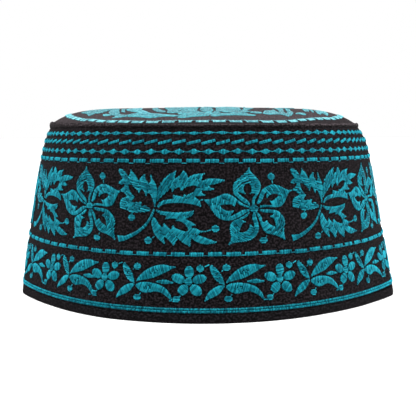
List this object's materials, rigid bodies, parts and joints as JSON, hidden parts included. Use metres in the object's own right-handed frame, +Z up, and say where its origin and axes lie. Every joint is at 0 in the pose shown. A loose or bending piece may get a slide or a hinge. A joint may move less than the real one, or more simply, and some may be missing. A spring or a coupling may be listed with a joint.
{
  "type": "embroidered kufi cap",
  "caption": "Stiff oval brimless cap of black cloth with a tapering side band, domed crown and folded hem, embroidered all round with turquoise flowers, leaf sprays and dashes.",
  "frame": {"origin": "middle of the oval hem, at the height of the surface that the cap rests on", "axes": "+Z up through the crown, -Y the front over the brow, +Y the nape, +X to the right as seen from the front"},
  "size_m": [0.1734, 0.2054, 0.0793],
  "materials": {
    "band_cloth": "closely woven black cloth, matt with a faint brown cast",
    "crown_cloth": "the same black cloth, seen in a stronger light",
    "seam_cloth": "black cloth rolled into a narrow lip, with fine loose fibres",
    "hem_cloth": "black cloth folded under, with faint level creases",
    "embroidery_thread": "lustrous turquoise machine embroidery thread in satin stitch"
  },
  "bodies": {
    "root": {"side_band": "band_cloth", "crown_panel": "crown_cloth", "crown_seam": "seam_cloth", "hem_fold": "hem_cloth"}
  },
  "joints": []
}
